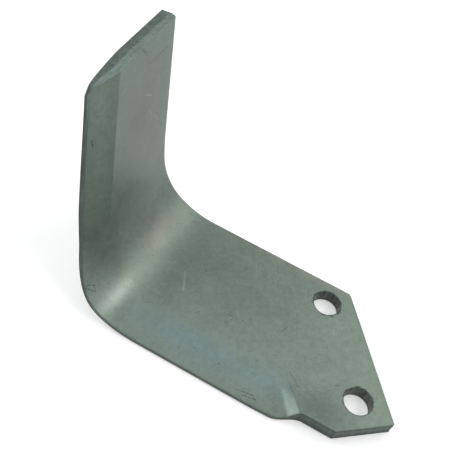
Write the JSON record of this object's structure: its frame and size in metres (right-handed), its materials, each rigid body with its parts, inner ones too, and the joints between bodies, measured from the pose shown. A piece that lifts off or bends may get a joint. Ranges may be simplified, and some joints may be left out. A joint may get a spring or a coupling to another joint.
{
  "type": "rotary tiller blade",
  "caption": "L-shaped rotary tiller blade: a flat forged bar with an angled bolt-on end, bent up into a wing, with a bevelled cutting edge that runs round the bend.",
  "frame": {"origin": "midway between the two bolt holes, on the outer face of the bolted end", "axes": "+Z square to the bolted end, towards the side the wing is bent to; +Y along the line of the bolt holes; +X towards the end of the bar"},
  "size_m": [0.1442, 0.1596, 0.1268],
  "materials": {
    "blade_steel": "satin"
  },
  "bodies": {
    "root": {"tiller_blade": "blade_steel"}
  },
  "joints": []
}
